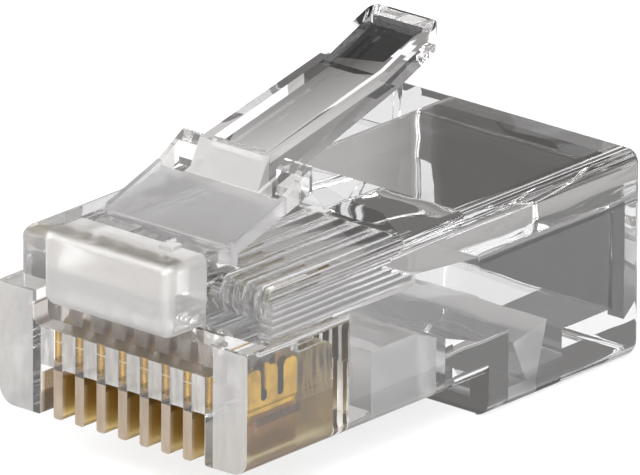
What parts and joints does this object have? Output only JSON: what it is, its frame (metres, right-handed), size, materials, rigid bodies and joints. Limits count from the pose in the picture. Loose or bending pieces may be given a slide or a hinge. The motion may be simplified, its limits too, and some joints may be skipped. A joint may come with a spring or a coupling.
{
  "type": "rj45 modular plug",
  "caption": "Clear modular cable plug with a sprung latch, gilt crimp blades in a slotted comb, wire channels, a cable cavity and press-in strain-relief bars.",
  "frame": {"origin": "on the plane of the tail's underside, centred across the width and along the overall length", "axes": "+Y from the contact end to the cable end, +Z towards the latch, +X across the width"},
  "size_m": [0.0116, 0.0228, 0.0136],
  "materials": {
    "clear_plastic": "clear, polished, with a frosted nose and comb",
    "gilt_contact": "gold plated, bright"
  },
  "bodies": {
    "housing": {"housing": "clear_plastic"},
    "latch": {"latch_lever": "clear_plastic"},
    "wire_bar": {"conductor_strain_relief": "clear_plastic"},
    "jacket_bar": {"jacket_strain_relief": "clear_plastic"},
    "contact_1": {"contact_1": "gilt_contact"},
    "contact_2": {"contact_2": "gilt_contact"},
    "contact_3": {"contact_3": "gilt_contact"},
    "contact_4": {"contact_4": "gilt_contact"},
    "contact_5": {"contact_5": "gilt_contact"},
    "contact_6": {"contact_6": "gilt_contact"},
    "contact_7": {"contact_7": "gilt_contact"},
    "contact_8": {"contact_8": "gilt_contact"}
  },
  "joints": [
    {"name": "latch_hinge", "type": "hinge", "parent": "housing", "child": "latch", "pos_m": [0, -0.00919, 0.00877], "axis": [-1, 0, 0], "range_deg": [0, 16], "stiffness_Nm_per_rad": 0.2},
    {"name": "wire_bar_press", "type": "slide", "parent": "housing", "child": "wire_bar", "axis": [0, 0, 1], "range_m": [0, 0.001]},
    {"name": "jacket_bar_press", "type": "slide", "parent": "housing", "child": "jacket_bar", "axis": [0, 0, 1], "range_m": [0, 0.0012]},
    {"name": "contact_1_crimp", "type": "slide", "parent": "housing", "child": "contact_1", "axis": [0, 0, 1], "range_m": [0, 0.00065]},
    {"name": "contact_2_crimp", "type": "slide", "parent": "housing", "child": "contact_2", "axis": [0, 0, 1], "range_m": [0, 0.00065]},
    {"name": "contact_3_crimp", "type": "slide", "parent": "housing", "child": "contact_3", "axis": [0, 0, 1], "range_m": [0, 0.00065]},
    {"name": "contact_4_crimp", "type": "slide", "parent": "housing", "child": "contact_4", "axis": [0, 0, 1], "range_m": [0, 0.00065]},
    {"name": "contact_5_crimp", "type": "slide", "parent": "housing", "child": "contact_5", "axis": [0, 0, 1], "range_m": [0, 0.00065]},
    {"name": "contact_6_crimp", "type": "slide", "parent": "housing", "child": "contact_6", "axis": [0, 0, 1], "range_m": [0, 0.00065]},
    {"name": "contact_7_crimp", "type": "slide", "parent": "housing", "child": "contact_7", "axis": [0, 0, 1], "range_m": [0, 0.00065]},
    {"name": "contact_8_crimp", "type": "slide", "parent": "housing", "child": "contact_8", "axis": [0, 0, 1], "range_m": [0, 0.00065]}
  ]
}
